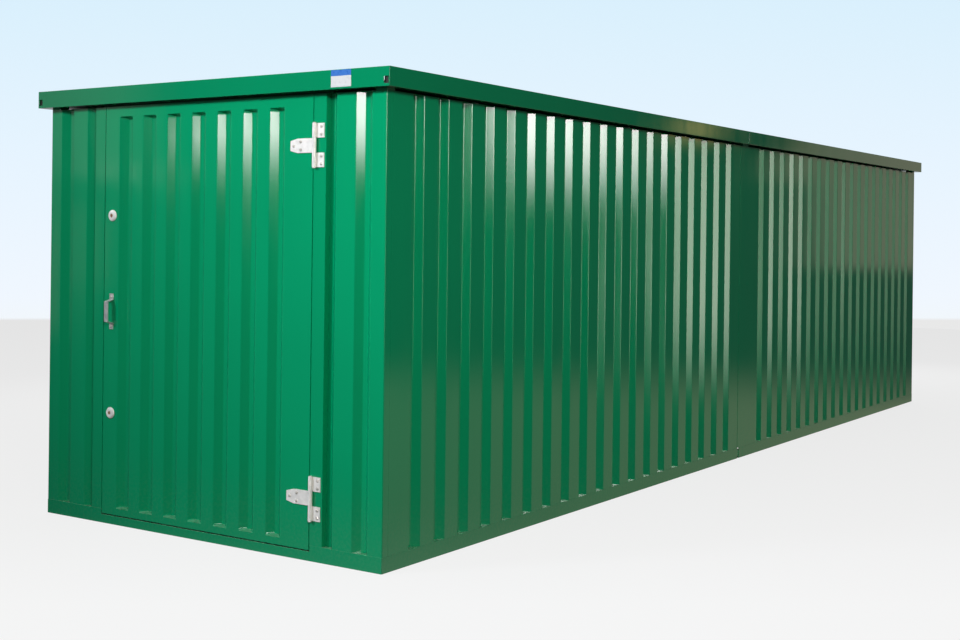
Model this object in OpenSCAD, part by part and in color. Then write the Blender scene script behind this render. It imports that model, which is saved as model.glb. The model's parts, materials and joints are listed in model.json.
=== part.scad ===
// Walk-in storage container of folded steel sheet: two linked bays, one hinged door in the front end.
// Origin: middle of the footprint, on the ground. +X right, +Y to the rear, +Z up. Millimetres.

/* [Container] */
// Overall length over the roof trims
overall_l = 8100; // [7300:100:9700]
// Overall width over the roof trims
overall_w = 2230; // [2200:10:2260]
// Overall height
overall_h = 2150; // [2120:10:2300]
// How far the roof trims stand out beyond the walls
trim_overhang = 50; // [45:1:60]
// Height of the roof trim
trim_h = 84; // [80:1:100]
// Height of the base rail
base_h = 70; // [66:1:80]
// Clear gap between the wall sheets of the two bays
bay_gap = 100; // [98:1:120]

/* [Wall sheets] */
// Thickness of the wall sheet
sheet_t = 1.2; // [1:0.1:1.5]
// Distance from one recess to the next
recess_pitch = 193; // [185:1:200]
// Width of a recess at the outer face
recess_open = 88; // [80:1:92]
// Sideways run of a recess flank
recess_run = 32; // [15:1:34]
// Depth of a recess
recess_depth = 30; // [20:1:30]
// Flat between a front corner and the first recess
corner_flat = 77; // [74:1:80]
// Length of the corner sheet that is turned round onto the side
corner_return = 42; // [38:1:50]

/* [Door] */
// Clear width between the jambs
doorway_w = 1334; // [1320:2:1340]
// Gap between the door leaf and each jamb
door_gap = 5; // [4.5:0.5:6]
// Height of the door leaf's lower edge
door_z0 = 48; // [46:1:52]
// Distance from one door recess to the next
door_pitch = 162; // [158:1:164]
// Flat between the hinge edge and the first recess
hinge_flat = 165; // [160:1:175]
// Flat above the door recesses
door_top_flat = 50; // [40:1:60]
// Flat below the door recesses
door_foot_flat = 32; // [30:1:40]
// Width of a door jamb
jamb_w = 70; // [66:1:72]

/* [Hinges] */
// Height of the upper hinge's middle
hinge_hi_z = 1831; // [1800:1:1850]
// Height of the lower hinge's middle
hinge_lo_z = 277; // [250:1:320]
// Height of one hinge knuckle
knuckle_h = 64; // [60:1:72]
// Outer radius of a knuckle
knuckle_r = 9.5; // [9:0.5:11]
// Radius of the hinge pin
pin_r = 5; // [4:0.5:6]
// Length of the door strap from the pin
strap_l = 142; // [135:1:150]
// Length of a frame leaf from the pin
leaf_l = 50; // [44:1:62]
// Thickness of strap and leaves
strap_t = 4; // [3:0.5:5]

/* [Locks and handle] */
// Distance of the locks and handle from the door's free edge
lock_inset = 54; // [52:1:56]
// Height of the upper lock
lock_hi_z = 1520; // [1480:1:1560]
// Height of the lower lock
lock_lo_z = 548; // [500:1:600]
// Radius of the lock rose
rose_r = 28; // [25:1:30]
// Travel of the lock bolt
throw = 20; // [18:1:20]
// Height of the pull handle's middle
handle_z = 1048; // [1000:1:1100]
// Clear depth behind the handle's grip
grip_depth = 34; // [30:1:38]
// Width of the handle's flat bar
handle_w = 26; // [22:1:30]

/* [Hidden] */
$fn = 48;
GREEN = [0, 0.45, 0.28];
ZINC = [0.82, 0.82, 0.8];
PLY = [0.55, 0.4, 0.25];
BLACK = [0.08, 0.08, 0.08];
BRASS = [0.6, 0.42, 0.3];
// Overlap that makes a cut run clear through
cut = 1;
// Gap left between pieces that meet edge to edge
seam = 0.5;

half_w = overall_w / 2 - trim_overhang;
half_l = overall_l / 2 - trim_overhang;
wall_top = overall_h - trim_h - 10;
trim_z0 = overall_h - trim_h;
rail_t = 3;
rail_w = 60;
plate_t = 2;

// Wall sheets
wall_h = wall_top - base_h;
wall_l = half_l - bay_gap / 2;
side_margin_min = 150;
side_n = floor((wall_l - 2 * side_margin_min - recess_open) / recess_pitch) + 1;
side_margin = (wall_l - (side_n - 1) * recess_pitch - recess_open) / 2;
rear_n = 11;
rear_pitch = (2 * half_w - 2 * corner_flat - recess_open) / (rear_n - 1);
wall_in = recess_depth + sheet_t;

// Floor
floor_z = 44;
board_t = 18;
boards_per_bay = 4;
member_w = 50;
member_z0 = 4;
members_per_bay = 6;
sill_z = 42;
sill_depth = 47;

// Posts
post_w = 58;
post_t = 3;
joint_post_w = 46;
joint_post_gap = 2;

// Roof, measured inward from the trim's outer face and up from the ground
gutter_in = trim_overhang + 60;
gutter_z = overall_h - 50;
bearing_w = 30;
trim_t = 2;
lip_w = 14;
roof_fall = 20;
roof_t = 1;
roof_rib_h = 18;
roof_pitch = 190;
roof_rib_w = 64;
roof_rib_run = 16;
roof_edge = half_w - 20;
roof_z = gutter_z - trim_t + 0.5;
roof_angle = atan(roof_fall / roof_edge);
bow_w = 40;
bow_z0 = gutter_z - 40;
bows_per_bay = 4;
bow_end = overall_w / 2 - gutter_in - 5;

// Door
jamb_in = doorway_w / 2;
jamb_out = jamb_in + jamb_w;
jamb_depth = 48;
door_half = jamb_in - door_gap;
door_w = 2 * door_half;
door_h = wall_top - door_z0;
door_n = floor((door_w - hinge_flat - 60 - recess_open) / door_pitch) + 1;
door_depth = 43;
door_wave_z0 = door_z0 + door_foot_flat;
door_wave_z1 = wall_top - door_top_flat;
lock_flat = door_w - hinge_flat - (door_n - 1) * door_pitch - recess_open;
hinge_stile_w = 60;
lock_stile_w = 25;
door_tube_t = 2;

// Hinges
pin_x = jamb_in + 11;
pin_y = -half_l - knuckle_r - 1;
bore_r = pin_r + 0.05;
knuckle_gap = 1;
hinge_zs = [hinge_lo_z, hinge_hi_z];
strap_bolt_at = [[strap_l - 18, 0], [strap_l - 58, 18], [strap_l - 58, -18]];
leaf_bolt_at = [[34, 17], [34, -17]];
bolt_r = 4;
bolt_clear = 0.2;
bolt_head_r = 7.5;
bolt_head_h = 5;

// Locks
lock_x = -door_half + lock_inset;
lock_zs = [lock_lo_z, lock_hi_z];
rotor_r = 9;
crank_r = 14;
crank_x = crank_r * sin(45);
crank_pin_r = 2.5;
case_x0 = lock_x - 28;
case_x1 = lock_x + 28;
case_y1 = -half_l + 32;
bolt_y0 = -half_l + 15;
bolt_t = 8;
bolt_half_h = 12;

// Left-hand unit normal of the line from a to b
function side_of(a, b) = let (d = b - a) [-d.y, d.x] / norm(d);

// Point i of a fold line, moved sideways so that the sheet keeps its thickness round the bend
function bend_point(line, i, t) =
  let (
    last = len(line) - 1,
    j = max(i, 1),
    k = min(i, last - 1),
    n1 = side_of(line[j - 1], line[j]),
    n2 = side_of(line[k], line[k + 1])
  )
  line[i] + t * (n1 + n2) / (1 + n1 * n2);

// Outline of a folded sheet that lies on the left of its fold line
function folded(line, t) =
  concat(line, [for (i = [len(line) - 1:-1:0]) bend_point(line, i, t)]);

// Fold line of one recess that starts at s
function recess(s, open, run, depth) =
  [[s, 0], [s + run, depth], [s + open - run, depth], [s + open, 0]];

// Fold line of a sheet from x0 to x1 with a recess at each start
function wave(x0, x1, starts, open, run, depth) =
  concat([[x0, 0]], [for (s = starts) each recess(s, open, run, depth)], [[x1, 0]]);

// n places from first, one pitch apart
function steps(first, pitch, n) = [for (i = [0:n - 1]) first + i * pitch];

// Puts a piece drawn with its outer face on y = 0 onto the front or the right wall
module on_front() {
  translate([0, -half_l, 0]) children();
}

module on_right() {
  rotate([0, 0, 90]) translate([0, -half_w, 0]) children();
}

// An upright folded sheet
module upright(line, t, z0, z1) {
  translate([0, 0, z0]) linear_extrude(height = z1 - z0) polygon(folded(line, t));
}

// A folded beam along x, from fold points (y, z)
module beam(line, t, x0, x1) {
  translate([x0, 0, 0])
    rotate([90, 0, 90])
      linear_extrude(height = x1 - x0) polygon(folded(line, t));
}

module box(lo, hi) {
  translate(lo) cube(hi - lo);
}

module mirror_y(on) {
  mirror([0, on ? 1 : 0, 0]) children();
}

module mirror_x(on) {
  mirror([on ? 1 : 0, 0, 0]) children();
}

module both_sides() {
  children();
  mirror([1, 0, 0]) children();
}

module both_ends() {
  children();
  mirror([0, 1, 0]) children();
}

// Half space beyond the mitre line of the right front corner at (cx, -cy), for a side or a front piece
module mitre(cx, cy, side) {
  reach = 300;
  outer = side ? [-reach, -reach] : [reach, reach];
  translate([cx, -cy + (side ? seam : 0), -cut])
    linear_extrude(height = overall_h + 2 * cut)
      polygon([[reach, -reach], outer, [-reach, reach]]);
}

/* ---- Base ---- */

function rail_line() = [[rail_w, base_h], [0, base_h], [0, 0], [rail_w, 0]];
function sill_line() = [
  [rail_w, base_h], [sill_depth, base_h], [sill_depth, sill_z], [0, sill_z], [0, 0], [rail_w, 0]
];

module end_rail() {
  difference() {
    on_front() beam(rail_line(), rail_t, -half_w, half_w);
    both_sides() mitre(half_w, half_l, false);
  }
}

module base_rail_front() {
  color(GREEN) {
    difference() {
      end_rail();
      on_front() box([-jamb_in, -cut, -cut], [jamb_in, rail_w + cut, base_h + cut]);
    }
    on_front() beam(sill_line(), rail_t, -jamb_in, jamb_in);
  }
}

module base_rail_rear() {
  color(GREEN) mirror([0, 1, 0]) end_rail();
}

rail_1_end = -88;
shoe_y0 = -62;

module side_rail(y1) {
  color(GREEN) difference() {
    on_right() beam(rail_line(), rail_t, -half_l, y1);
    mitre(half_w, half_l, true);
  }
}

module base_rail_right_1() side_rail(rail_1_end);
module base_rail_right_2() mirror([0, 1, 0]) side_rail(-seam);
module base_rail_left_1() mirror([1, 0, 0]) side_rail(rail_1_end);
module base_rail_left_2() mirror([1, 0, 0]) mirror([0, 1, 0]) side_rail(-seam);

module base_joint_plates() {
  splice_t = 4;
  color(GREEN) both_sides() {
    on_right() beam(rail_line(), rail_t, shoe_y0, -seam);
    box(
      [half_w - rail_t - splice_t, -200, 12],
      [half_w - rail_t, 200, base_h - 12]
    );
  }
}

module floor_cross_members() {
  joint_y = 2;
  half_len = half_w - 8;
  first = half_l - 150;
  pitch = (first - joint_y - member_w / 2) / (members_per_bay);
  color(GREEN) both_ends() {
    for (i = [0:members_per_bay])
      translate([0, -joint_y - member_w / 2 - i * pitch, 0]) difference() {
        box([-half_len, -member_w / 2, member_z0], [half_len, member_w / 2, floor_z]);
        box(
          [-half_len - cut, -member_w / 2 + rail_t, member_z0 + rail_t],
          [half_len + cut, member_w / 2 - rail_t, floor_z - rail_t]
        );
      }
  }
}

// Floor boards of one bay: first board starts behind the sill
module floor_boards_1() {
  y0 = -half_l + rail_w + 2;
  board_l = (-y0 - seam) / boards_per_bay;
  reach = half_w - rail_w - 4;
  color(PLY) for (i = [0:boards_per_bay - 1])
    box(
      [-reach, y0 + i * board_l, floor_z],
      [reach, y0 + (i + 1) * board_l - 2, floor_z + board_t]
    );
}

module floor_boards_2() mirror([0, 1, 0]) floor_boards_1();

/* ---- Posts ---- */

module square_tube(x0, y0, w, z0, z1) {
  difference() {
    box([x0, y0, z0], [x0 + w, y0 + w, z1]);
    box([x0 + post_t, y0 + post_t, z0 - cut], [x0 + w - post_t, y0 + w - post_t, z1 + cut]);
  }
}

module corner_posts() {
  x0 = half_w - sheet_t - post_w;
  y0 = -half_l + sheet_t;
  color(GREEN) both_ends() both_sides() square_tube(x0, y0, post_w, base_h, trim_z0);
}

module at_joint_bolts() {
  x = half_w - sheet_t - joint_post_w / 2;
  both_sides() for (z = [300, 1050, 1800]) translate([x, 0, z]) rotate([90, 0, 0]) children();
}

module joint_posts() {
  x0 = half_w - sheet_t - joint_post_w;
  color(GREEN) difference() {
    both_ends() both_sides()
      square_tube(x0, -joint_post_gap - joint_post_w, joint_post_w, base_h, trim_z0);
    at_joint_bolts() cylinder(r = bolt_r + bolt_clear, h = 3 * joint_post_w, center = true);
  }
}

// Bolts that clamp the joint posts of the two bays together, each with its nut
module joint_bolts() {
  seat = joint_post_gap + joint_post_w;
  nut_h = 7;
  color(ZINC) at_joint_bolts() {
    cylinder(r = bolt_r, h = 2 * (seat + nut_h - 1), center = true);
    for (s = [-1, 1])
      translate([0, 0, s * (seat + nut_h / 2)]) cylinder(r = 8, h = nut_h, center = true, $fn = 6);
  }
}

/* ---- Wall sheets ---- */

module front_panel_right() {
  starts = [corner_flat, corner_flat + recess_pitch];
  last = half_w - jamb_out;
  line = concat(
    [[0, corner_return], [0, 0]],
    recess(starts[0], recess_open, recess_run, recess_depth),
    [[starts[1], 0], [starts[1] + recess_run, recess_depth], [last - seam, recess_depth]]
  );
  color(GREEN) on_front() translate([half_w, 0, 0]) mirror([1, 0, 0])
    translate([0, 0, base_h]) linear_extrude(height = wall_h) polygon(folded(line, sheet_t));
}

module front_panel_left() mirror([1, 0, 0]) front_panel_right();

module side_wall_right_1() {
  y0 = -half_l + corner_return + 1.5;
  starts = steps(-half_l + side_margin, recess_pitch, side_n);
  line = wave(y0, -bay_gap / 2, starts, recess_open, recess_run, recess_depth);
  color(GREEN) on_right() upright(line, sheet_t, base_h, wall_top);
}

module side_wall_right_2() mirror([0, 1, 0]) side_wall_right_1();
module side_wall_left_1() mirror([1, 0, 0]) side_wall_right_1();
module side_wall_left_2() mirror([1, 0, 0]) mirror([0, 1, 0]) side_wall_right_1();

module rear_wall() {
  starts = steps(-half_w + corner_flat, rear_pitch, rear_n);
  bays = [for (s = starts) each recess(s, recess_open, recess_run, recess_depth)];
  line = concat(
    [[-half_w, corner_return], [-half_w, 0]], bays, [[half_w, 0], [half_w, corner_return]]
  );
  color(GREEN) mirror([0, 1, 0]) on_front() upright(line, sheet_t, base_h, wall_top);
}

// Angles behind the tops of the wall sheets
module head_rails() {
  in = wall_in + seam;
  line = [[in + 30, wall_top], [in, wall_top], [in, wall_top - 50]];
  post_end = half_l - sheet_t - post_w - 2;
  color(GREEN) {
    both_ends() both_sides()
      on_right() beam(line, rail_t, -post_end, -joint_post_w - 4);
    mirror([0, 1, 0])
      on_front() beam(line, rail_t, -half_w + post_w + 4, half_w - post_w - 4);
    both_sides()
      on_front() beam(line, rail_t, jamb_out + 2, half_w - post_w - 4);
  }
}

module joint_covers() {
  cover_w = 178;
  color(GREEN) both_sides()
    box([half_w, -cover_w / 2, base_h], [half_w + sheet_t, cover_w / 2, wall_top]);
}

/* ---- Roof ---- */

// Fold line of a roof trim: lip, fascia, soffit, gutter wall, bearing flange
function trim_line() = [
  [lip_w, overall_h - trim_t], [trim_t, overall_h - trim_t], [trim_t, trim_z0 + trim_t],
  [gutter_in, trim_z0 + trim_t], [gutter_in, gutter_z - trim_t],
  [gutter_in + bearing_w, gutter_z - trim_t]
];

plate_face = 2;
label_t = 0.8;
trim_x = overall_w / 2 - plate_face;
trim_y = overall_l / 2 - label_t;

module end_trim() {
  slot_w = 25;
  difference() {
    translate([0, -trim_y, 0])
      beam(trim_line(), -trim_t, -trim_x, trim_x);
    both_sides() mitre(trim_x, trim_y, false);
    both_sides()
      box([trim_x - 5 - slot_w, -trim_y - cut, trim_z0 + 12], [trim_x - 5, -trim_y + 6, trim_z0 + 42]);
  }
}

module roof_trim_front() {
  color(GREEN) end_trim();
}

module roof_trim_rear() {
  color(GREEN) translate([0, label_t, 0]) mirror([0, 1, 0]) end_trim();
}

module side_trim(rear_shift) {
  color(GREEN) difference() {
    rotate([0, 0, 90]) translate([0, -trim_x, 0])
      beam(trim_line(), -trim_t, -trim_y - rear_shift, -seam);
    mitre(trim_x, trim_y + rear_shift, true);
  }
}

module roof_trim_right_1() side_trim(0);
module roof_trim_right_2() mirror([0, 1, 0]) side_trim(label_t);
module roof_trim_left_1() mirror([1, 0, 0]) side_trim(0);
module roof_trim_left_2() mirror([1, 0, 0]) mirror([0, 1, 0]) side_trim(label_t);

module trim_joint_plates() {
  color(GREEN) both_sides()
    box([trim_x, -67, trim_z0 + 2], [trim_x + plate_face, 67, overall_h - 2]);
}

module trim_plate() {
  color("white")
    box([799, -trim_y - label_t, trim_z0 + 8], [909, -trim_y, overall_h - 2]);
}

// One half of a bay's roof, falling to the right
module roof_half() {
  y0 = -half_l + 20;
  length = -y0 - 6;
  n = floor((length - 60 - roof_rib_w) / roof_pitch) + 1;
  first = y0 + (length - (n - 1) * roof_pitch - roof_rib_w) / 2;
  line = wave(y0, y0 + length, steps(first, roof_pitch, n), roof_rib_w, roof_rib_run, roof_rib_h);
  translate([0, 0, roof_z + roof_fall])
    rotate([0, roof_angle, 0])
      beam(line, roof_t, 1, roof_edge / cos(roof_angle));
}

module roof_sheets_1() {
  color(ZINC) both_sides() roof_half();
}

module roof_sheets_2() mirror([0, 1, 0]) roof_sheets_1();

module roof_bow() {
  peak = gutter_z - 2 * trim_t - 1;
  rotate([90, 0, 0]) translate([0, 0, -bow_w / 2]) linear_extrude(height = bow_w)
    polygon([
      [-bow_end, bow_z0], [bow_end, bow_z0], [bow_end, peak],
      [0, peak + roof_fall], [-bow_end, peak]
    ]);
}

module roof_bows() {
  pitch = half_l / (bows_per_bay + 1);
  color(ZINC) both_ends() {
    translate([0, -bow_w / 2 - 5, 0]) roof_bow();
    for (i = [1:bows_per_bay]) translate([0, -i * pitch, 0]) roof_bow();
  }
}

// Gable-shaped strip over the ribs, from y0 to y1 and out to half_span
module gable_strip(half_span, y0, y1, t) {
  z = roof_z + roof_fall + roof_rib_h + roof_t + 0.8;
  drop = half_span * tan(roof_angle);
  line = [[-half_span, z - drop], [0, z], [half_span, z - drop]];
  mirror([0, 1, 0]) rotate([90, 0, 0]) translate([0, 0, y0])
    linear_extrude(height = y1 - y0) polygon(folded(line, t));
}

joint_cap_half = 62;

module ridge_caps() {
  color(ZINC) both_ends()
    gable_strip(70, -half_l + 24, -joint_cap_half - seam, 1.2);
}

module roof_joint_cap() {
  color(ZINC) gable_strip(roof_edge - 6, -joint_cap_half, joint_cap_half, 1.2);
}

/* ---- Doorway ---- */

module leaf_holes(r) {
  for (z = hinge_zs, s = [-1, 1], p = leaf_bolt_at)
    translate([pin_x + p.x, -half_l, z + s * (knuckle_h + knuckle_gap) + p.y])
      rotate([90, 0, 0]) cylinder(r = r, h = 40, center = true);
}

module jamb_tube() {
  difference() {
    box([jamb_in, -half_l, base_h], [jamb_out, -half_l + jamb_depth, wall_top]);
    box(
      [jamb_in + post_t, -half_l + post_t, base_h - cut],
      [jamb_out - post_t, -half_l + jamb_depth - post_t, wall_top + cut]
    );
  }
}

module door_jamb_right() {
  color(GREEN) difference() {
    jamb_tube();
    leaf_holes(bolt_r + bolt_clear);
  }
}

strike_half_h = bolt_half_h + 3;
strike_y0 = bolt_y0 - 3;
strike_y1 = bolt_y0 + bolt_t + 3;

module strike_slots(x0, x1) {
  for (z = lock_zs) box([x0, strike_y0, z - strike_half_h], [x1, strike_y1, z + strike_half_h]);
}

module door_jamb_left() {
  color(GREEN) difference() {
    mirror([1, 0, 0]) jamb_tube();
    strike_slots(-jamb_in - 20, -jamb_in + cut);
  }
}

module strike_plates() {
  plate = 1.5;
  color(ZINC) difference() {
    for (z = lock_zs)
      box([-jamb_in, -half_l + 6, z - 45], [-jamb_in + plate, -half_l + 40, z + 45]);
    strike_slots(-jamb_in - cut, -jamb_in + plate + cut);
  }
}

module door_header() {
  y0 = -half_l + jamb_depth + 1;
  z0 = wall_top - 44;
  color(GREEN) difference() {
    box([-jamb_out, y0, z0], [jamb_out, y0 + 40, trim_z0]);
    box(
      [-jamb_out - cut, y0 + rail_t, z0 + rail_t],
      [jamb_out + cut, y0 + 40 - rail_t, trim_z0 - rail_t]
    );
  }
}

module door_stops() {
  y0 = -half_l + jamb_depth;
  color(GREEN) both_sides()
    box([jamb_in - 20, y0, base_h], [jamb_in + 40, y0 + rail_t, wall_top - 46]);
}

/* ---- Door leaf ---- */

// Draws on the door's outer face, from the hinge edge towards the lock edge
module from_hinge_edge() {
  on_front() translate([door_half, 0, 0]) mirror([1, 0, 0]) children();
}

module strap_holes(r) {
  for (z = hinge_zs, p = strap_bolt_at)
    translate([pin_x - p.x, -half_l, z + p.y])
      rotate([90, 0, 0]) cylinder(r = r, h = 40, center = true);
}

handle_fixing = 72;

module handle_holes(r) {
  for (s = [-1, 1])
    translate([lock_x, -half_l, handle_z + s * handle_fixing])
      rotate([90, 0, 0]) cylinder(r = r, h = 40, center = true);
}

module door_skin() {
  starts = steps(hinge_flat, door_pitch, door_n);
  line = wave(0, door_w, starts, recess_open, recess_run, recess_depth);
  color(GREEN) difference() {
    from_hinge_edge() {
      upright(line, sheet_t, door_wave_z0, door_wave_z1);
      box([0, 0, door_z0], [door_w, sheet_t, door_wave_z0]);
      box([0, 0, door_wave_z1], [door_w, sheet_t, wall_top]);
      for (s = starts, z = [door_wave_z0, door_wave_z1 - sheet_t])
        translate([0, 0, z]) linear_extrude(height = sheet_t)
          polygon(recess(s, recess_open, recess_run, recess_depth));
    }
    strap_holes(bolt_r + bolt_clear);
    handle_holes(bolt_r + bolt_clear);
    for (z = lock_zs)
      translate([lock_x, -half_l, z]) rotate([90, 0, 0]) cylinder(r = rotor_r + 1, h = 20, center = true);
  }
}

module tube_box(lo, hi, open_axis) {
  over = [for (i = [0:2]) i == open_axis ? cut : -door_tube_t];
  difference() {
    box(lo, hi);
    box(lo - over, hi + over);
  }
}

module door_frame() {
  y0 = -half_l + sheet_t;
  y1 = -half_l + door_depth;
  color(GREEN) {
    tube_box([door_half - hinge_stile_w, y0, door_z0], [door_half, y1, wall_top], 2);
    difference() {
      tube_box([-door_half, y0, door_z0], [-door_half + lock_stile_w, y1, wall_top], 2);
      for (z = lock_zs)
        box(
          [-door_half - cut, bolt_y0 - 1, z - bolt_half_h - 1],
          [-door_half + lock_stile_w + cut, bolt_y0 + bolt_t + 1, z + bolt_half_h + 1]
        );
    }
    tube_box(
      [-door_half + lock_stile_w + seam, y0, door_z0],
      [door_half - hinge_stile_w - seam, y1, door_wave_z0 - 2], 0
    );
    tube_box(
      [-door_half + lock_stile_w + seam, y0, door_wave_z1 + 2],
      [door_half - hinge_stile_w - seam, y1, wall_top], 0
    );
  }
}

stiffener_zs = [door_z0 + door_h / 3, door_z0 + 2 * door_h / 3];

module door_stiffeners() {
  y0 = -half_l + wall_in + 0.2;
  color(GREEN) for (z = stiffener_zs)
    box(
      [-door_half + lock_stile_w + seam, y0, z - 25],
      [door_half - hinge_stile_w - seam, -half_l + door_depth, z + 25]
    );
}

/* ---- Hinges ---- */

module knuckle(z, h) {
  translate([pin_x, pin_y, z - h / 2]) cylinder(r = knuckle_r, h = h);
}

module pin_bore(z) {
  translate([pin_x, pin_y, z - 2 * knuckle_h]) cylinder(r = bore_r, h = 4 * knuckle_h);
}

module strap(z) {
  half_h = knuckle_h / 2;
  color(ZINC) difference() {
    union() {
      translate([0, -half_l, z]) rotate([90, 0, 0]) linear_extrude(height = strap_t)
        polygon([
          [pin_x - 2, -half_h], [pin_x - 2, half_h], [pin_x - strap_l + 40, half_h],
          [pin_x - strap_l, half_h - 10], [pin_x - strap_l, -half_h + 10],
          [pin_x - strap_l + 40, -half_h]
        ]);
      knuckle(z, knuckle_h);
    }
    box([door_half, -half_l - 1, z - half_h - cut], [pin_x + knuckle_r, -half_l + cut, z + half_h + cut]);
    pin_bore(z);
    strap_holes(bolt_r + bolt_clear);
  }
}

module hinge_strap_upper() strap(hinge_hi_z);
module hinge_strap_lower() strap(hinge_lo_z);

module hinge_leaves() {
  half_h = knuckle_h / 2;
  color(ZINC) difference() {
    for (z = hinge_zs, s = [-1, 1]) union() {
      zc = z + s * (knuckle_h + knuckle_gap);
      box([pin_x + 2, -half_l - strap_t, zc - half_h], [pin_x + leaf_l, -half_l, zc + half_h]);
      knuckle(zc, knuckle_h);
    }
    for (z = hinge_zs) pin_bore(z);
    leaf_holes(bolt_r + bolt_clear);
  }
}

module hinge_pins() {
  reach = 1.5 * knuckle_h + knuckle_gap + 0.5;
  color(ZINC) for (z = hinge_zs) translate([pin_x, pin_y, z]) {
    cylinder(r = pin_r, h = 2 * reach, center = true);
    for (s = [-1, 1]) translate([0, 0, s * (reach + 1.5)]) cylinder(r = pin_r + 3, h = 3, center = true);
  }
}

// Bolt along y with a domed head on the outside and a nut behind, at the origin of its head's seat
module through_bolt(grip) {
  rotate([90, 0, 0]) {
    rotate_extrude() polygon([
      [0, 0], [bolt_head_r, 0], [bolt_head_r - 1, 2.5], [bolt_head_r - 3.5, bolt_head_h - 0.8],
      [0, bolt_head_h]
    ]);
    translate([0, 0, -grip - 6]) cylinder(r = bolt_r, h = grip + 6 + 0.01);
    translate([0, 0, -grip - 5]) cylinder(r = 7, h = 5, $fn = 6);
  }
}

module strap_bolts() {
  color(ZINC) for (z = hinge_zs, p = strap_bolt_at)
    translate([pin_x - p.x, -half_l - strap_t, z + p.y]) through_bolt(strap_t + sheet_t + rail_t);
}

module leaf_bolts() {
  color(ZINC) for (z = hinge_zs, s = [-1, 1], p = leaf_bolt_at)
    translate([pin_x + p.x, -half_l - strap_t, z + s * (knuckle_h + knuckle_gap) + p.y])
      through_bolt(strap_t + post_t);
}

module hinge_backing_plates() {
  y0 = -half_l + sheet_t;
  color(ZINC) difference() {
    for (z = hinge_zs)
      box([pin_x - strap_l - 5, y0, z - 40], [door_half - hinge_stile_w - 1, y0 + rail_t, z + 40]);
    strap_holes(bolt_r + bolt_clear);
  }
}

/* ---- Handle and locks ---- */

module pull_handle() {
  foot = 88;
  knee = 57;
  grip = 47;
  bar_t = 4;
  line = [
    [foot, 0], [knee, 0], [grip, grip_depth], [-grip, grip_depth], [-knee, 0], [-foot, 0]
  ];
  color(ZINC) difference() {
    translate([lock_x - handle_w / 2, -half_l, handle_z])
      rotate([0, 90, 0])
        linear_extrude(height = handle_w)
          polygon([for (p = folded(line, -bar_t)) [p.x, -p.y]]);
    handle_holes(bolt_r + bolt_clear);
  }
}

module handle_bolts() {
  color(ZINC) for (s = [-1, 1])
    translate([lock_x, -half_l - 4, handle_z + s * handle_fixing]) through_bolt(4 + sheet_t);
}

module lock_roses() {
  color(ZINC) for (z = lock_zs) translate([lock_x, -half_l, z]) rotate([90, 0, 0])
    rotate_extrude() polygon([
      [rotor_r + 0.05, 0], [rose_r, 0], [rose_r, 2], [rose_r - 2, 5], [rose_r - 7, 8],
      [rose_r - 12, 9.5], [rotor_r + 0.05, 9.5]
    ]);
}

module lock_rotor(z) {
  y0 = -half_l - 9;
  color(BRASS) translate([lock_x, y0, z]) rotate([-90, 0, 0]) {
    difference() {
      cylinder(r = rotor_r, h = 21);
      translate([-1.3, -6, -cut]) cube([2.6, 12, 9]);
    }
    translate([0, 0, 20]) cylinder(r = crank_r + 3, h = 3);
    translate([crank_x, -crank_x, 22]) cylinder(r = crank_pin_r, h = 10);
  }
}

module lock_rotor_upper() lock_rotor(lock_hi_z);
module lock_rotor_lower() lock_rotor(lock_lo_z);

module lock_bolt(z) {
  slot_x = lock_x + crank_x;
  slot_half = crank_pin_r + 1;
  color(ZINC) translate([0, bolt_y0, z]) difference() {
    union() {
      box([-door_half + 1, 0, -bolt_half_h], [slot_x + 8, bolt_t, bolt_half_h]);
      box([slot_x - 8, 0, bolt_half_h - 1], [slot_x + 8, bolt_t, 21]);
    }
    box([slot_x - slot_half, -cut, 6.5], [slot_x + slot_half, bolt_t + cut, 18]);
  }
}

module lock_bolt_upper() lock_bolt(lock_hi_z);
module lock_bolt_lower() lock_bolt(lock_lo_z);

module lock_cases() {
  wall = 2;
  y0 = -half_l + sheet_t;
  color(ZINC) difference() {
    for (z = lock_zs) difference() {
      box([case_x0, y0, z - 24], [case_x1, case_y1, z + 28]);
      box([case_x0 + wall, y0 + wall, z - 22], [case_x1 - wall, case_y1 - wall, z + 26]);
      box(
        [case_x0 - cut, bolt_y0 - 0.5, z - bolt_half_h - 0.5],
        [case_x0 + wall + cut, bolt_y0 + bolt_t + 0.5, z + bolt_half_h + 0.5]
      );
      translate([lock_x, y0 + wall / 2, z]) rotate([90, 0, 0])
        cylinder(r = rotor_r + 0.05, h = wall + 2 * cut, center = true);
    }
  }
}

module door_seal() {
  y0 = -half_l + door_depth;
  y1 = y0 + 3.5;
  w = 14;
  x = door_half - 2;
  z0 = door_z0 + 4;
  z1 = wall_top - 4;
  color(BLACK) {
    both_sides() box([x - w, y0, z0], [x, y1, z1]);
    for (z = [z0, z1 - w]) box([-x + w + seam, y0, z], [x - w - seam, y1, z + w]);
  }
}

base_rail_front();
base_rail_rear();
base_rail_right_1();
base_rail_right_2();
base_rail_left_1();
base_rail_left_2();
base_joint_plates();
floor_cross_members();
floor_boards_1();
floor_boards_2();
corner_posts();
joint_posts();
front_panel_right();
front_panel_left();
side_wall_right_1();
side_wall_right_2();
side_wall_left_1();
side_wall_left_2();
rear_wall();
head_rails();
door_jamb_right();
door_jamb_left();
door_header();
door_stops();
roof_trim_front();
roof_trim_rear();
roof_trim_right_1();
roof_trim_right_2();
roof_trim_left_1();
roof_trim_left_2();
trim_joint_plates();
roof_sheets_1();
roof_sheets_2();
roof_bows();
ridge_caps();
roof_joint_cap();
joint_covers();
joint_bolts();
trim_plate();
hinge_leaves();
hinge_pins();
leaf_bolts();
strike_plates();
door_skin();
door_frame();
door_stiffeners();
hinge_strap_upper();
hinge_strap_lower();
strap_bolts();
hinge_backing_plates();
pull_handle();
handle_bolts();
lock_roses();
lock_cases();
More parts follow.
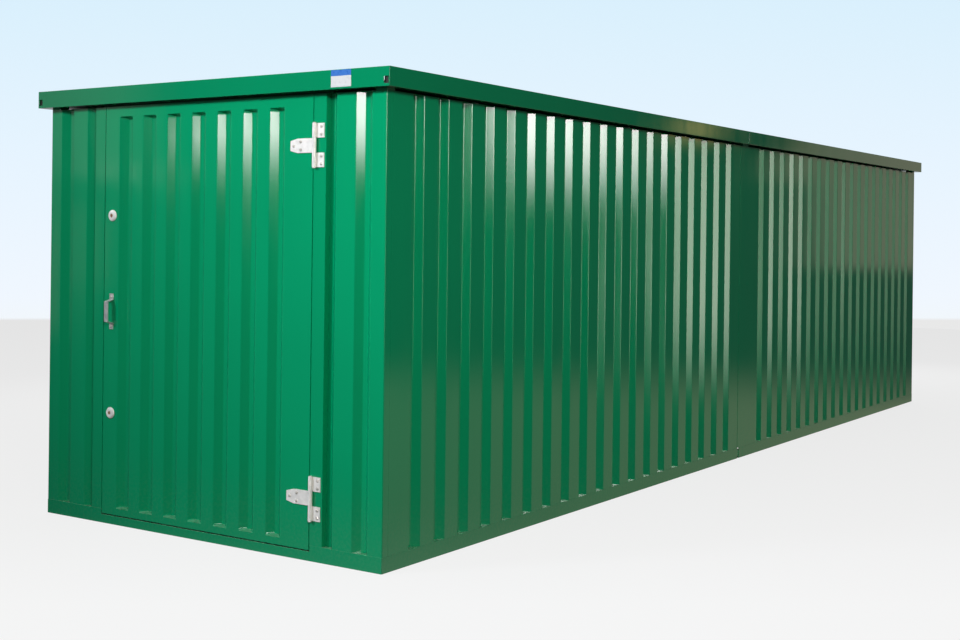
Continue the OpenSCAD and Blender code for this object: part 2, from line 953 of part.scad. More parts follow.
door_seal();
lock_rotor_upper();
lock_rotor_lower();
lock_bolt_upper();
lock_bolt_lower();
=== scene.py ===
"""Looks of a two-bay storage container: gloss green folded sheet with zinc-plated hinges and locks."""

import json
import math
import random

import bmesh
import bpy
from mathutils import Matrix, Vector, noise


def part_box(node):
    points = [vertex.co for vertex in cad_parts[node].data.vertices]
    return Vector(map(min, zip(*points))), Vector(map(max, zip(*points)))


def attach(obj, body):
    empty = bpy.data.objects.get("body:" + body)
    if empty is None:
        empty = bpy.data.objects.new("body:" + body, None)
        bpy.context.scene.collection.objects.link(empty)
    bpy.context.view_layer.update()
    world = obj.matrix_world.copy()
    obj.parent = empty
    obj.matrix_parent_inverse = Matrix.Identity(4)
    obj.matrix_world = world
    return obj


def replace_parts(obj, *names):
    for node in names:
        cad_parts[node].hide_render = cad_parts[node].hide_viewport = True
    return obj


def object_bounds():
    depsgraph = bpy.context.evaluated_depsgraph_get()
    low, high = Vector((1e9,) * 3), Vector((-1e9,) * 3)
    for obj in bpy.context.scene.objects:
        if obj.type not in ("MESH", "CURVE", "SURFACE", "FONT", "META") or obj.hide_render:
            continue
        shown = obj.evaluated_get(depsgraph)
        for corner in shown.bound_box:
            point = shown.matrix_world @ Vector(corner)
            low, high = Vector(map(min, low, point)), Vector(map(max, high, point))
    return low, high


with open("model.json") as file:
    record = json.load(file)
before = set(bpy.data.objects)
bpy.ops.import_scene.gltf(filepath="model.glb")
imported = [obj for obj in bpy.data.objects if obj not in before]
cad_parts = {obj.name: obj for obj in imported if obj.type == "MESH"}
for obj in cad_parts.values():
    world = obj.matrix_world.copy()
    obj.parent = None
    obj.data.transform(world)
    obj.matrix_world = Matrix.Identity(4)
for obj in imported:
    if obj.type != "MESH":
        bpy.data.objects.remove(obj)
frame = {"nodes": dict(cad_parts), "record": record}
CAD_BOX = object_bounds()

# Folded sheet, in metres: thickness, and the radius and facets of each bend
SHEET_T = 0.0012
BEND_R = 0.005
BEND_STEPS = 4
# Distance of the holding points from each bend, and the mesh spacing across the flats and up the sheet
HOLD = 0.002
FLAT_STEP = 0.03
ROW_STEP = 0.09
SHARP_ANGLE = 38
# A pressed recess: width at its mouth, width of each sloping side, height of the slopes that close its ends
RECESS_OPEN = 0.088
RECESS_RUN = 0.032
WALL_CAP = 0.003
DOOR_FOOT_CAP = 0.014
DOOR_HEAD_CAP = 0.016
# Where the recesses lie
WALL_PITCH = 0.193
WALL_MARGIN = 0.15
FRONT_FLAT = 0.077
REAR_RECESSES = 11
DOOR_RECESSES = 7
DOOR_PITCH = 0.162
DOOR_FIRST = 0.165
DOOR_FOOT = 0.032
DOOR_HEAD = 0.05
# The outermost strip at each end of a fold line is never flattened, so wrapped edges keep their depth
RETURN_ZONE = 0.02
# Unevenness of the folds, and a gentle wave over each sheet
PRESS_OUT = 0.0006
WAVE_DEPTH = 0.0005
WAVES_ALONG = 7
WAVES_UP = 2.2
# Block in the black rubber material behind each drain slot, painted shade for the dark inside of the trim's
# corner: half size, and distances in from the trim's end, face and top
BLOCK_HALF_W = 0.0155
BLOCK_HALF_T = 0.0025
BLOCK_IN = 0.0195
BLOCK_BACK = 0.0125
BLOCK_TOP = 0.032
BLOCK_FOOT = 0.079

WALL_LO, WALL_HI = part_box("side_wall_right_1")
REAR_LO, REAR_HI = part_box("rear_wall")
PANEL_LO, PANEL_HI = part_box("front_panel_right")
DOOR_LO, DOOR_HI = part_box("door_skin")
HALF_W = WALL_HI.x
HALF_L = REAR_HI.y
DEPTH = WALL_HI.x - WALL_LO.x - SHEET_T


def srgb(red, green, blue):
    """Linear colour of 8-bit sRGB values."""
    def linear(value):
        value /= 255
        return value / 12.92 if value <= 0.04045 else ((value + 0.055) / 1.055) ** 2.4
    return (linear(red), linear(green), linear(blue), 1)


# ---- Node trees ----


class Net:
    """Short names for building a node tree."""

    def __init__(self, tree):
        self.tree = tree
        tree.nodes.clear()

    def add(self, kind, **settings):
        node = self.tree.nodes.new(kind)
        for key, value in settings.items():
            setattr(node, key, value)
        return node

    def plug(self, socket, value):
        if isinstance(value, bpy.types.NodeSocket):
            self.tree.links.new(value, socket)
        else:
            socket.default_value = value

    def math(self, operation, *values, clamp=False):
        node = self.add("ShaderNodeMath", operation=operation, use_clamp=clamp)
        for socket, value in zip(node.inputs, values):
            self.plug(socket, value)
        return node.outputs[0]

    def mix(self, share, first, second):
        node = self.add("ShaderNodeMix", data_type="RGBA")
        for index, value in ((0, share), (6, first), (7, second)):
            self.plug(node.inputs[index], value)
        return node.outputs[2]

    def span(self, value, start, end, low=0.0, high=1.0, smooth=True):
        """low to high as value goes from start to end."""
        node = self.add("ShaderNodeMapRange", interpolation_type="SMOOTHSTEP" if smooth else "LINEAR")
        for index, item in enumerate((value, start, end, low, high)):
            self.plug(node.inputs[index], item)
        return node.outputs[0]

    def window(self, value, start, end, soft):
        """1 between start and end, with soft edges."""
        rise = self.span(value, start - soft, start + soft)
        fall = self.span(value, end - soft, end + soft, 1.0, 0.0)
        return self.math("MULTIPLY", rise, fall)

    def noise(self, place, scale, detail=2.0, stretch=(1, 1, 1)):
        mapping = self.add("ShaderNodeMapping")
        mapping.inputs["Scale"].default_value = stretch
        self.plug(mapping.inputs["Vector"], place)
        node = self.add("ShaderNodeTexNoise")
        node.inputs["Scale"].default_value = scale
        node.inputs["Detail"].default_value = detail
        self.plug(node.inputs["Vector"], mapping.outputs[0])
        return node.outputs[0]

    def bump(self, height, strength, distance):
        node = self.add("ShaderNodeBump")
        node.inputs["Strength"].default_value = strength
        node.inputs["Distance"].default_value = distance
        self.plug(node.inputs["Height"], height)
        return node.outputs[0]


def new_material(name):
    """(material, net, Principled shader, object coordinates) of a new material."""
    material = bpy.data.materials.new(name)
    material.use_nodes = True
    net = Net(material.node_tree)
    shader = net.add("ShaderNodeBsdfPrincipled")
    output = net.add("ShaderNodeOutputMaterial")
    net.plug(output.inputs["Surface"], shader.outputs[0])
    place = net.add("ShaderNodeTexCoord").outputs["Object"]
    return material, net, shader, place


def shade(colour, factor):
    """The colour made darker or lighter."""
    return (colour[0] * factor, colour[1] * factor, colour[2] * factor, 1)


def axis_z(net, vector):
    """Height component of a vector."""
    split = net.add("ShaderNodeSeparateXYZ")
    net.plug(split.inputs[0], vector)
    return split.outputs["Z"]


# ---- Materials ----


GREEN = (0.0, 0.262, 0.106, 1)
DUST = (0.30, 0.31, 0.24, 1)


def green_paint(name, colour, ledge_dust):
    """Gloss powder coat with slight mottling, orange peel, and dust on ledges and low down."""
    material, net, shader, place = new_material(name)
    broad = net.noise(place, 1.4, 3.0)
    streak = net.noise(place, 9.0, 3.0, (1, 1, 0.08))
    fine = net.noise(place, 70.0, 3.0)
    tone = net.mix(broad, shade(colour, 0.93), shade(colour, 1.07))
    facing_up = net.span(axis_z(net, net.add("ShaderNodeNewGeometry").outputs["Normal"]), 0.4, 0.95)
    ledge = net.math("MULTIPLY", facing_up, net.span(fine, 0.3, 0.7, ledge_dust * 0.5, ledge_dust))
    low = net.span(axis_z(net, place), 0.05, 0.45, 0.035, 0.0)
    splash = net.math("MULTIPLY", low, net.span(fine, 0.35, 0.75))
    dust = net.math("ADD", ledge, splash, clamp=True)
    net.plug(shader.inputs["Base Color"], net.mix(dust, tone, DUST))
    rough = net.span(streak, 0.3, 0.7, 0.055, 0.10)
    net.plug(shader.inputs["Roughness"], net.math("MULTIPLY_ADD", dust, 0.5, rough))
    net.plug(shader.inputs["Normal"], net.bump(net.noise(place, 240.0, 1.0), 0.06, 0.0004))
    return material


def zinc_plate(name, colour, metallic, rough):
    """Bright zinc plating with faint cloudy stains."""
    material, net, shader, place = new_material(name)
    cloud = net.noise(place, 35.0, 4.0)
    grain = net.noise(place, 400.0, 2.0)
    net.plug(shader.inputs["Base Color"], net.mix(net.span(cloud, 0.35, 0.7), colour, shade(colour, 0.86)))
    net.plug(shader.inputs["Roughness"], net.span(grain, 0.3, 0.7, rough * 0.85, rough * 1.2))
    shader.inputs["Metallic"].default_value = metallic
    net.plug(shader.inputs["Normal"], net.bump(grain, 0.08, 0.0003))
    return material


def spangled_zinc(name):
    """Hot-dip galvanising: flat crystals of differing brightness."""
    material, net, shader, place = new_material(name)
    cells = net.add("ShaderNodeTexVoronoi")
    cells.inputs["Scale"].default_value = 65.0
    net.plug(cells.inputs["Vector"], place)
    split = net.add("ShaderNodeSeparateColor")
    net.plug(split.inputs[0], cells.outputs["Color"])
    flake = split.outputs[0]
    net.plug(shader.inputs["Base Color"], net.mix(flake, (0.50, 0.52, 0.53, 1), (0.68, 0.69, 0.69, 1)))
    net.plug(shader.inputs["Roughness"], net.span(flake, 0.0, 1.0, 0.48, 0.64))
    shader.inputs["Metallic"].default_value = 0.7
    net.plug(shader.inputs["Normal"], net.bump(net.noise(place, 30.0, 2.0), 0.1, 0.001))
    return material


def brass(name):
    """Worn dark brass of the key barrels."""
    material, net, shader, place = new_material(name)
    wear = net.noise(place, 300.0, 3.0)
    net.plug(shader.inputs["Base Color"], net.mix(wear, (0.36, 0.17, 0.09, 1), (0.55, 0.33, 0.2, 1)))
    net.plug(shader.inputs["Roughness"], net.span(wear, 0.3, 0.7, 0.3, 0.5))
    shader.inputs["Metallic"].default_value = 0.6
    return material


def plywood(name):
    """Film-faced board: brown resin film over long faint grain, with a fine anti-slip mesh."""
    material, net, shader, place = new_material(name)
    grain = net.noise(place, 5.0, 5.0, (6, 0.5, 1))
    mesh = net.add("ShaderNodeTexVoronoi")
    mesh.inputs["Scale"].default_value = 260.0
    net.plug(mesh.inputs["Vector"], place)
    net.plug(shader.inputs["Base Color"], net.mix(grain, (0.10, 0.055, 0.03, 1), (0.24, 0.14, 0.075, 1)))
    net.plug(shader.inputs["Roughness"], net.span(grain, 0.3, 0.7, 0.4, 0.6))
    net.plug(shader.inputs["Normal"], net.bump(mesh.outputs["Distance"], 0.3, 0.0006))
    return material


def rubber(name):
    """Black rubber with a grey bloom."""
    material, net, shader, place = new_material(name)
    dust = net.noise(place, 40.0, 3.0)
    net.plug(shader.inputs["Base Color"], net.mix(dust, (0.012, 0.012, 0.012, 1), (0.05, 0.05, 0.047, 1)))
    net.plug(shader.inputs["Roughness"], net.span(dust, 0.3, 0.7, 0.65, 0.85))
    return material


def white_plate(name):
    """Gloss white plate with a plain blue band along its top."""
    material, net, shader, place = new_material(name)
    band_h, edge = 0.026, 0.0005
    band_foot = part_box("trim_plate")[1].z - band_h
    band = net.span(axis_z(net, place), band_foot - edge, band_foot + edge)
    smudge = net.noise(place, 60.0, 3.0)
    blue = net.mix(smudge, (0.02, 0.10, 0.36, 1), (0.05, 0.17, 0.48, 1))
    white = net.mix(smudge, (0.47, 0.47, 0.47, 1), (0.58, 0.58, 0.57, 1))
    net.plug(shader.inputs["Base Color"], net.mix(band, white, blue))
    net.plug(shader.inputs["Roughness"], net.span(smudge, 0.3, 0.7, 0.25, 0.4))
    return material


def make_materials():
    """One material for each of the record's slots, and a darker copy of the frame green for the roof trims,
    whose extra darkness is painted shade.
    """
    return {
        "green_sheet": green_paint("green_sheet", GREEN, 0.25),
        "green_frame": green_paint("green_frame", shade(GREEN, 0.96), 0.35),
        # Frame green darkened for the roof trims: painted shade
        "green_trim_painted_shade": green_paint("green_trim_painted_shade", shade(GREEN, 0.75), 0.35),
        "galvanised": spangled_zinc("galvanised"),
        "zinc_plated": zinc_plate("zinc_plated", (0.84, 0.81, 0.77, 1), 0.15, 0.36),
        "fastener": zinc_plate("fastener", (0.66, 0.62, 0.57, 1), 0.35, 0.42),
        "key_brass": brass("key_brass"),
        "plywood": plywood("plywood"),
        "seal_rubber": rubber("seal_rubber"),
        "plate_white": white_plate("plate_white"),
    }


# ---- Folded sheets ----


def recess(start, rng):
    """Fold line of one pressed recess, with the small unevenness of real folding."""
    def off():
        return rng.uniform(-PRESS_OUT, PRESS_OUT)
    floor = DEPTH - abs(off())
    return [
        Vector((start + off(), 0)),
        Vector((start + RECESS_RUN + off(), floor)),
        Vector((start + RECESS_OPEN - RECESS_RUN + off(), floor)),
        Vector((start + RECESS_OPEN + off(), 0)),
    ]


def rounded(points):
    """The fold line with each bend turned into a short curve between two holding points."""
    line = [points[0]]
    for before, bend, after in zip(points, points[1:], points[2:]):
        into, out = bend - before, after - bend
        reach = BEND_R * math.tan(into.angle(out) / 2)
        reach = min(reach, 0.45 * min(into.length, out.length) - HOLD)
        into.normalize()
        out.normalize()
        start, end = bend - into * reach, bend + out * reach
        line.append(start - into * HOLD)
        for step in range(BEND_STEPS + 1):
            share = step / BEND_STEPS
            line.append(start.lerp(bend, share).lerp(bend.lerp(end, share), share))
        line.append(end + out * HOLD)
    line.append(points[-1])
    return line


def stepped(line):
    """The line with points added so that none are further apart than FLAT_STEP."""
    out = [line[0]]
    for a, b in zip(line, line[1:]):
        count = max(1, math.ceil((b - a).length / FLAT_STEP))
        out += [a.lerp(b, i / count) for i in range(1, count + 1)]
    return out


def offset(line):
    """The line moved by the sheet's thickness to its inner side."""
    sides = []
    for a, b in zip(line, line[1:]):
        run = (b - a).normalized()
        sides.append(Vector((-run.y, run.x)))
    out = []
    for i, point in enumerate(line):
        first, second = sides[max(i - 1, 0)], sides[min(i, len(sides) - 1)]
        out.append(point + (first + second) * SHEET_T / (1 + first.dot(second)))
    return out


def levels(low, high, closed_low, closed_high):
    """(height, share of the recess depth) rows of a sheet, whose recesses close over those heights."""
    slope = [(u, 1 - (1 - u) ** 3) for u in (0, 0.04, 0.1, 0.2, 0.35, 0.6, 1)]
    rows = [(low + u * closed_low, share) for u, share in slope] if closed_low else []
    start, end = low + closed_low, high - closed_high
    count = round((end - start) / ROW_STEP)
    rows += [(start + i * (end - start) / count, 1) for i in range(bool(closed_low), count)]
    tail = [(high - u * closed_high, share) for u, share in reversed(slope)] if closed_high else [(end, 1)]
    return rows + tail


def sheet(name, points, rows, place, seed, body):
    """A closed thin sheet swept up through the rows. place turns (along, depth, height) into a point."""
    line = stepped(rounded(points))
    start, end = min(p.x for p in line) + RETURN_ZONE, max(p.x for p in line) - RETURN_ZONE
    coords = []
    for height, share in rows:
        pressed = [Vector((p.x, p.y * share)) if start < p.x < end else p for p in line]
        for layer in (pressed, offset(pressed)):
            for p in layer:
                wave = noise.noise(Vector((p.x * WAVES_ALONG, height * WAVES_UP, seed)))
                coords.append(place(p.x, p.y + WAVE_DEPTH * (0.5 + 0.5 * wave), height))
    wide, high = len(line), len(rows)
    faces = []
    for j in range(high - 1):
        low, top = 2 * wide * j, 2 * wide * (j + 1)
        for layer in (0, wide):
            faces += [(low + layer + i, low + layer + i + 1, top + layer + i + 1, top + layer + i)
                      for i in range(wide - 1)]
        for i in (0, wide - 1):
            faces.append((low + i, top + i, top + wide + i, low + wide + i))
    for row in (0, 2 * wide * (high - 1)):
        faces += [(row + i, row + i + 1, row + wide + i + 1, row + wide + i) for i in range(wide - 1)]
    mesh = bpy.data.meshes.new(name)
    mesh.from_pydata(coords, [], faces)
    return finish_mesh(name, mesh, "green_sheet", body)


def finish_mesh(name, mesh, slot, body):
    """Faces outward, smooth over gentle bends, with its material, riding on its body."""
    bm = bmesh.new()
    bm.from_mesh(mesh)
    bmesh.ops.recalc_face_normals(bm, faces=bm.faces)
    bm.to_mesh(mesh)
    bm.free()
    mesh.shade_smooth()
    mesh.set_sharp_from_angle(angle=math.radians(SHARP_ANGLE))
    mesh.materials.append(MATERIALS[slot])
    piece = bpy.data.objects.new(name, mesh)
    bpy.context.scene.collection.objects.link(piece)
    even = piece.modifiers.new("even_normals", "WEIGHTED_NORMAL")
    even.keep_sharp = True
    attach(piece, body)
    return piece


def wall_points(seed):
    """Fold line of one side wall sheet, along y."""
    rng = random.Random(seed)
    low, high = WALL_LO.y, WALL_HI.y
    length = HALF_L + high
    count = math.floor((length - 2 * WALL_MARGIN - RECESS_OPEN) / WALL_PITCH + 1e-6) + 1
    margin = (length - (count - 1) * WALL_PITCH - RECESS_OPEN) / 2
    points = [Vector((low, 0))]
    for i in range(count):
        points += recess(-HALF_L + margin + i * WALL_PITCH, rng)
    return points + [Vector((high, 0))]


def side_walls():
    """Four side sheets: bay 1 at the door end and bay 2, on the right and on the left."""
    rows = levels(WALL_LO.z, WALL_HI.z, 0, WALL_CAP)
    for seed, (name, side, bay) in enumerate((
        ("side_wall_right_1", 1, 1), ("side_wall_right_2", 1, -1),
        ("side_wall_left_1", -1, 1), ("side_wall_left_2", -1, -1),
    )):
        def place(along, depth, height, side=side, bay=bay):
            return (side * (HALF_W - depth), bay * along, height)
        piece = sheet(name + "_sheet", wall_points(seed), rows, place, seed * 5.0, "container")
        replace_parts(piece, name)


def front_panels():
    """Panels beside the door, each wrapped round its corner and set back where it meets the jamb."""
    rows = levels(PANEL_LO.z, PANEL_HI.z, 0, WALL_CAP)
    wrap = PANEL_HI.y + HALF_L
    last = HALF_W - PANEL_LO.x
    second = FRONT_FLAT + WALL_PITCH
    for seed, (name, side) in enumerate((("front_panel_right", 1), ("front_panel_left", -1))):
        rng = random.Random(20 + seed)
        points = [Vector((0, wrap)), Vector((0, 0))] + recess(FRONT_FLAT, rng)
        points += [Vector((second, 0)), Vector((second + RECESS_RUN, DEPTH)), Vector((last, DEPTH))]

        def place(along, depth, height, side=side):
            return (side * (HALF_W - along), -HALF_L + depth, height)
        piece = sheet(name + "_sheet", points, rows, place, 31.0 + seed, "container")
        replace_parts(piece, name)


def rear_wall():
    """Rear sheet, wrapped round both corners."""
    rng = random.Random(40)
    wrap = HALF_L - REAR_LO.y
    pitch = (2 * HALF_W - 2 * FRONT_FLAT - RECESS_OPEN) / (REAR_RECESSES - 1)
    points = [Vector((0, wrap)), Vector((0, 0))]
    for i in range(REAR_RECESSES):
        points += recess(FRONT_FLAT + i * pitch, rng)
    points += [Vector((2 * HALF_W, 0)), Vector((2 * HALF_W, wrap))]

    def place(along, depth, height):
        return (along - HALF_W, HALF_L - depth, height)
    rows = levels(REAR_LO.z, REAR_HI.z, 0, WALL_CAP)
    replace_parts(sheet("rear_wall_sheet", points, rows, place, 43.0, "container"), "rear_wall")


def door_skin():
    """Door sheet, flat round its edges, with recesses counted from the hinge side."""
    rng = random.Random(50)
    points = [Vector((0, 0))]
    for i in range(DOOR_RECESSES):
        points += recess(DOOR_FIRST + i * DOOR_PITCH, rng)
    points.append(Vector((DOOR_HI.x - DOOR_LO.x, 0)))
    rows = levels(DOOR_LO.z + DOOR_FOOT, DOOR_HI.z - DOOR_HEAD, DOOR_FOOT_CAP, DOOR_HEAD_CAP)
    rows = [(DOOR_LO.z, 0)] + rows + [(DOOR_HI.z, 0)]

    def place(along, depth, height):
        return (DOOR_HI.x - along, -HALF_L + depth, height)
    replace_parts(sheet("door_skin_sheet", points, rows, place, 57.0, "door"), "door_skin")


def plate(name, low, high, slot, body):
    """A flat piece between two corners, with rounded edges."""
    bm = bmesh.new()
    bmesh.ops.create_cube(bm, size=1.0)
    for vertex in bm.verts:
        vertex.co = [(a + b) / 2 + (b - a) * c for a, b, c in zip(low, high, vertex.co)]
    bmesh.ops.bevel(bm, geom=bm.edges, offset=0.0004, segments=2, profile=0.5, affect="EDGES")
    mesh = bpy.data.meshes.new(name)
    bm.to_mesh(mesh)
    bm.free()
    return finish_mesh(name, mesh, slot, body)


def slot_shade_blocks():
    """Blocks in the black rubber material behind the drain slots at the ends of the front and rear trims:
    painted shade for the dark inside of the trim's corners.
    """
    outer = CAD_BOX[1]
    for end, end_name in ((-1, "front"), (1, "rear")):
        for side, side_name in ((-1, "left"), (1, "right")):
            x, y = side * (outer.x - BLOCK_IN), end * (outer.y - BLOCK_BACK)
            low = (x - BLOCK_HALF_W, y - BLOCK_HALF_T, outer.z - BLOCK_FOOT)
            high = (x + BLOCK_HALF_W, y + BLOCK_HALF_T, outer.z - BLOCK_TOP)
            # Each block is painted shade behind its slot
            plate(f"slot_shade_block_{end_name}_{side_name}", low, high, "seal_rubber", "container")


# ---- Carried-over nodes ----


def soften(node, width):
    """Joins the imported facets, rounds the hard edges and evens the shading."""
    weld = node.modifiers.new("weld", "WELD")
    weld.merge_threshold = 1e-5
    flat = node.modifiers.new("flat", "DECIMATE")
    flat.decimate_type = "DISSOLVE"
    flat.angle_limit = math.radians(0.3)
    bevel = node.modifiers.new("bevel", "BEVEL")
    bevel.width = width
    bevel.segments = 2
    bevel.limit_method = "ANGLE"
    bevel.angle_limit = math.radians(35)
    even = node.modifiers.new("even_normals", "WEIGHTED_NORMAL")
    even.keep_sharp = False


# Width of the softened edges, by material slot
BEVELS = {
    "green_sheet": 0.0004,
    "green_frame": 0.0012,
    "galvanised": 0.0006,
    "zinc_plated": 0.0007,
    "fastener": 0.0004,
    "key_brass": 0.0003,
    "plywood": 0.001,
    "seal_rubber": 0.001,
    "plate_white": 0.0002,
}


def dress_nodes():
    """Gives every CAD node its material, and soft edges to those that show."""
    for part in frame["record"]["subparts"]:
        node = frame["nodes"][part["node"]]
        slot = part["material_slot"]
        # Roof trims get the darkened frame green: painted shade
        paint = "green_trim_painted_shade" if "trim" in part["node"] and slot == "green_frame" else slot
        node.data.materials.clear()
        node.data.materials.append(MATERIALS[paint])
        if not node.hide_render:
            soften(node, BEVELS[slot])


# ---- Stage ----


# Camera: place, azimuth of its view from +Y towards -X, roll in degrees, focal length, shift of the picture
EYE = Vector((4.5333, -8.6893, 1.4377))
CAMERA_AZIMUTH = 34.788
CAMERA_ROLL = 0.68
LENS = 51.598
SHIFT = (0.0559, -0.0875)
# Backdrop: degrees above the horizon, and the 8-bit colour there
BACKDROP = (
    (-15.0, (245, 245, 245)),
    (-6.8, (236, 236, 236)),
    (-3.5, (232, 232, 232)),
    (-3.44, (241, 247, 252)),
    (-2.5, (240, 247, 255)),
    (3.6, (230, 244, 255)),
    (9.7, (218, 240, 253)),
    (15.0, (206, 235, 252)),
)
# Reflector cards: azimuth from -Y towards +X, elevation, softness of each, colour.
# The first four light the sloping sides of the recesses, the next five the flats of the long side,
# and the last five the flats of the door end and what the rear and left side reflect.
CARDS = (
    ((40.6, 52.0), (3.7, 12.0), (0.7, 1.6), (23.0, 21.0, 21.5)),
    ((62.6, 69.2), (2.9, 12.0), (0.8, 2.0), (25.0, 23.5, 23.5)),
    ((69.2, 74.3), (-4.5, 60.0), (0.3, 2.5), (7.4, 7.4, 6.4)),
    ((74.3, 96.0), (-4.5, 60.0), (0.3, 2.5), (1.7, 1.8, 1.4)),
    ((155.4, 157.0), (3.9, 5.1), (0.4, 0.3), (1.2, 0.9, 0.3)),
    ((159.1, 160.7), (2.4, 3.4), (0.3, 0.2), (0.42, 0.38, 0.26)),
    ((160.1, 160.7), (3.4, 4.2), (0.2, 0.2), (0.5, 0.4, 0.2)),
    ((160.7, 176.0), (-1.1, 9.0), (0.5, 0.25), (0.42, 0.36, 0.26)),
    ((118.0, 180.0), (-90.0, -5.8), (8.0, 1.2), (0.38, 0.40, 0.24)),
    ((-60.0, -46.6), (2.35, 60.0), (1.2, 0.25), (0.45, 0.44, 0.38)),
    ((-48.6, -45.2), (2.2, 2.6), (0.15, 0.12), (1.1, 1.1, 1.0)),
    ((-48.7, -48.2), (-2.2, 1.0), (0.15, 0.5), (0.8, 0.75, 0.6)),
    ((-50.2, -49.8), (-4.0, 2.2), (0.12, 0.6), (1.0, 0.95, 0.75)),
    ((-180.0, -70.0), (-90.0, 60.0), (12.0, 8.0), (0.35, 0.37, 0.38)),
)


def backdrop_colour(net, direction):
    """Tone of the backdrop, in level bands across the picture."""
    _, upright, ahead = camera_axes()
    parts = []
    for axis in (upright, ahead):
        dot = net.add("ShaderNodeVectorMath", operation="DOT_PRODUCT")
        net.plug(dot.inputs[0], direction)
        net.plug(dot.inputs[1], axis)
        parts.append(dot.outputs["Value"])
    depth = net.math("MAXIMUM", parts[1], 0.35)
    level = net.math("DEGREES", net.math("ARCTANGENT", net.math("DIVIDE", parts[0], depth)))
    ramp = net.add("ShaderNodeValToRGB")
    low, high = BACKDROP[0][0], BACKDROP[-1][0]
    while len(ramp.color_ramp.elements) < len(BACKDROP):
        ramp.color_ramp.elements.new(0.5)
    for stop, (angle, colour) in zip(ramp.color_ramp.elements, BACKDROP):
        stop.position = (angle - low) / (high - low)
        stop.color = srgb(*colour)
    net.plug(ramp.inputs[0], net.span(level, low, high, smooth=False))
    return ramp.outputs[0]


def add_floor():
    """Plain pale floor, toned like the backdrop's lower part."""
    bm = bmesh.new()
    bmesh.ops.create_circle(bm, cap_ends=True, segments=96, radius=15.0)
    mesh = bpy.data.meshes.new("floor")
    bm.to_mesh(mesh)
    bm.free()
    floor = bpy.data.objects.new("floor", mesh)
    floor.location.z = CAD_BOX[0].z - 0.0005
    bpy.context.scene.collection.objects.link(floor)
    material = bpy.data.materials.new("floor")
    material.use_nodes = True
    net = Net(material.node_tree)
    away = net.add("ShaderNodeVectorMath", operation="SUBTRACT")
    net.plug(away.inputs[0], net.add("ShaderNodeNewGeometry").outputs["Position"])
    net.plug(away.inputs[1], EYE)
    glow = net.add("ShaderNodeEmission")
    net.plug(glow.inputs["Color"], backdrop_colour(net, away.outputs[0]))
    matt = net.add("ShaderNodeBsdfDiffuse")
    matt.inputs["Color"].default_value = (0.9, 0.9, 0.9, 1)
    both = net.add("ShaderNodeMixShader")
    both.inputs[0].default_value = 0.06
    output = net.add("ShaderNodeOutputMaterial")
    net.plug(both.inputs[1], glow.outputs[0])
    net.plug(both.inputs[2], matt.outputs[0])
    net.plug(output.inputs["Surface"], both.outputs[0])
    mesh.materials.append(material)
    floor.visible_glossy = False
    floor.visible_diffuse = False


def card(net, azimuth, elevation, spec):
    """Light of one reflector card in that direction."""
    azimuths, elevations, soft, colour = spec
    across = net.window(azimuth, azimuths[0], azimuths[1], soft[0])
    upward = net.window(elevation, elevations[0], elevations[1], soft[1])
    return net.mix(net.math("MULTIPLY", across, upward), (0, 0, 0, 1), (*colour, 1))


def add_world():
    """Pale backdrop for the camera, soft light for matt surfaces, and a studio for glossy ones."""
    world = bpy.data.worlds.new("studio")
    world.use_nodes = True
    bpy.context.scene.world = world
    net = Net(world.node_tree)
    direction = net.add("ShaderNodeTexCoord").outputs["Generated"]
    split = net.add("ShaderNodeSeparateXYZ")
    net.plug(split.inputs[0], direction)
    x, y, z = split.outputs
    elevation = net.math("DEGREES", net.math("ARCSINE", z))
    azimuth = net.math("DEGREES", net.math("ARCTAN2", x, net.math("MULTIPLY", y, -1.0)))

    glossy = net.mix(net.span(elevation, 14.0, 40.0), (0.05, 0.06, 0.06, 1), (0.9, 0.92, 0.95, 1))
    glossy = net.mix(net.span(elevation, -16.0, -10.5), (0.42, 0.42, 0.38, 1), glossy)
    glossy = net.mix(net.span(elevation, -52.0, -30.0), (0.02, 0.02, 0.02, 1), glossy)
    for spec in CARDS:
        total = net.add("ShaderNodeMix", data_type="RGBA", blend_type="ADD")
        total.inputs[0].default_value = 1.0
        net.plug(total.inputs[6], glossy)
        net.plug(total.inputs[7], card(net, azimuth, elevation, spec))
        glossy = total.outputs[2]

    soft = net.mix(net.span(elevation, -30.0, 60.0), (0.07, 0.07, 0.07, 1), (0.26, 0.27, 0.28, 1))
    across = net.window(azimuth, -80.0, -15.0, 10.0)
    upward = net.window(elevation, -5.0, 60.0, 10.0)
    left_front = net.math("MULTIPLY", across, upward)
    soft = net.mix(net.math("MULTIPLY", left_front, 0.4), soft, (1.1, 1.2, 1.4, 1))
    path = net.add("ShaderNodeLightPath")
    seen = net.mix(path.outputs["Is Glossy Ray"], soft, glossy)
    seen = net.mix(path.outputs["Is Camera Ray"], seen, backdrop_colour(net, direction))
    background = net.add("ShaderNodeBackground")
    net.plug(background.inputs["Color"], seen)
    output = net.add("ShaderNodeOutputWorld")
    net.plug(output.inputs["Surface"], background.outputs[0])


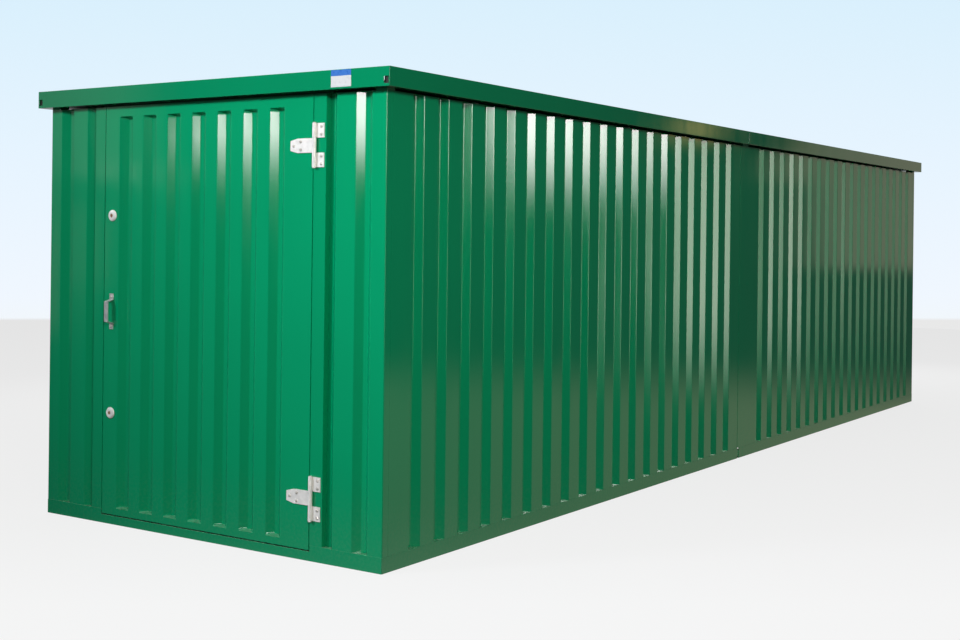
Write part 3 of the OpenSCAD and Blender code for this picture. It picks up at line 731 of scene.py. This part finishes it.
def add_area_light(name, place, target, size, power, colour=(1.0, 1.0, 1.0), spread=180):
    """A large soft light that doesn't show in reflections."""
    data = bpy.data.lights.new(name, "AREA")
    data.shape = "RECTANGLE"
    data.size, data.size_y = size
    data.energy = power
    data.color = colour
    data.spread = math.radians(spread)
    light = bpy.data.objects.new(name, data)
    light.location = place
    light.rotation_euler = (Vector(target) - Vector(place)).to_track_quat("-Z", "Y").to_euler()
    light.visible_glossy = False
    light.visible_camera = False
    bpy.context.scene.collection.objects.link(light)


def add_lights():
    """Two lights on the sides that the camera sees, and one each for the rear, the left side and the roof."""
    add_area_light("front_left", (-2.6, -9.2, 4.4), (3.0, -4.0, 2.4), (1.5, 1.0), 116, (0.95, 1.0, 1.1), 76)
    add_area_light("front_right", (5.5, -8.5, 4.0), (0.8, -2.4, 2.2), (1.5, 1.0), 112, (1.0, 1.0, 0.94), 110)
    add_area_light("rear_light", (-0.4, HALF_L + 3.3, 2.6), (-0.4, HALF_L, 1.2), (2.4, 1.2), 130)
    add_area_light("left_light", (-HALF_W - 4.0, 1.0, 3.0), (-HALF_W, 0.5, 1.0), (4.0, 2.0), 120)
    add_area_light("top_light", (0, 0, 7.0), (0, 0, 2.0), (6.0, 10.0), 190)


def camera_axes():
    """The camera's right, up and forward directions: level, with a slight roll."""
    azimuth, roll = math.radians(CAMERA_AZIMUTH), math.radians(CAMERA_ROLL)
    ahead = Vector((-math.sin(azimuth), math.cos(azimuth), 0))
    side = Vector((math.cos(azimuth), math.sin(azimuth), 0))
    up = Vector((0, 0, 1))
    return side * math.cos(roll) + up * math.sin(roll), up * math.cos(roll) - side * math.sin(roll), ahead


def add_camera():
    """Stands off the near right corner at eye height."""
    data = bpy.data.cameras.new("camera")
    data.sensor_width = 36.0
    data.lens = LENS
    data.shift_x, data.shift_y = SHIFT
    across, upright, ahead = camera_axes()
    camera = bpy.data.objects.new("camera", data)
    turn = Matrix((across, upright, -ahead)).transposed().to_4x4()
    camera.matrix_world = Matrix.Translation(EYE) @ turn
    bpy.context.scene.collection.objects.link(camera)
    bpy.context.scene.camera = camera


bpy.context.scene.view_settings.view_transform = "Standard"
MATERIALS = make_materials()
add_camera()
side_walls()
front_panels()
rear_wall()
door_skin()
# Black blocks behind the drain slots: painted shade
slot_shade_blocks()
dress_nodes()
add_floor()
add_world()
add_lights()
